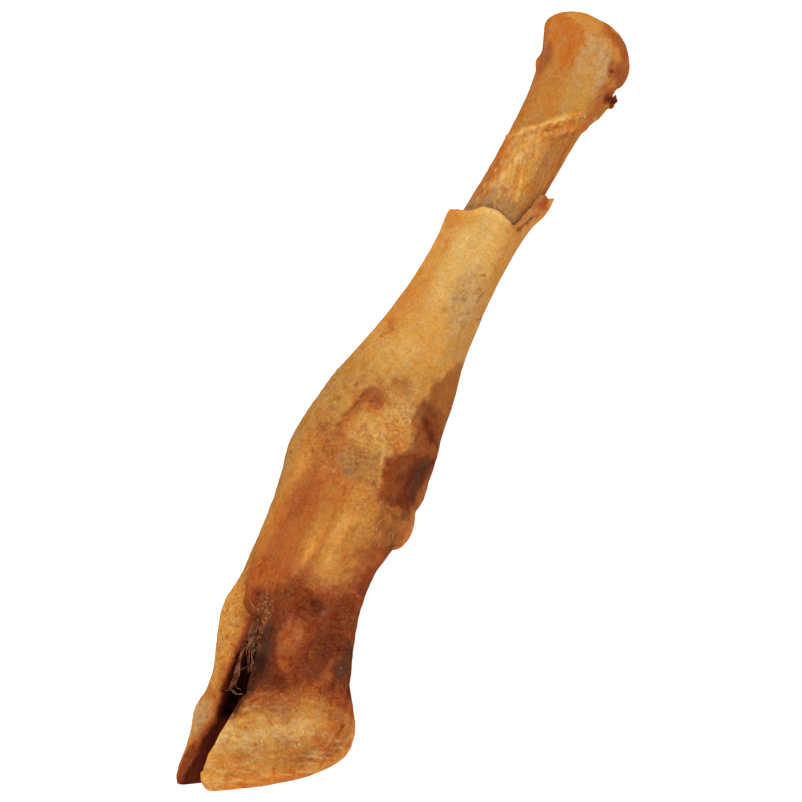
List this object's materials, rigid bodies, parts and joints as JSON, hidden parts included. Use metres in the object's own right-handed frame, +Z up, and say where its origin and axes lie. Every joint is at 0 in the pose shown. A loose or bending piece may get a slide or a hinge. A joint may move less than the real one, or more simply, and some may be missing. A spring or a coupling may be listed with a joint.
{
  "type": "dried lamb leg dog chew",
  "caption": "Dried lamb leg dog chew: a bare cannon bone standing out of golden brown skin that runs down over the fetlock to a cloven foot.",
  "frame": {"origin": "on the surface that the leg lies on, under the middle of its bounding box", "axes": "+Y from the toes to the bare end of the bone; +X towards the back of the leg, where the dewclaws are; +Z up, from the side it lies on"},
  "size_m": [0.0474, 0.2236, 0.0362],
  "materials": {
    "skin": "dried skin, golden ochre to dark brown, satin, with paler horn at the foot",
    "bone": null
  },
  "bodies": {
    "root": {"hide": "skin", "bone": "bone"}
  },
  "joints": []
}
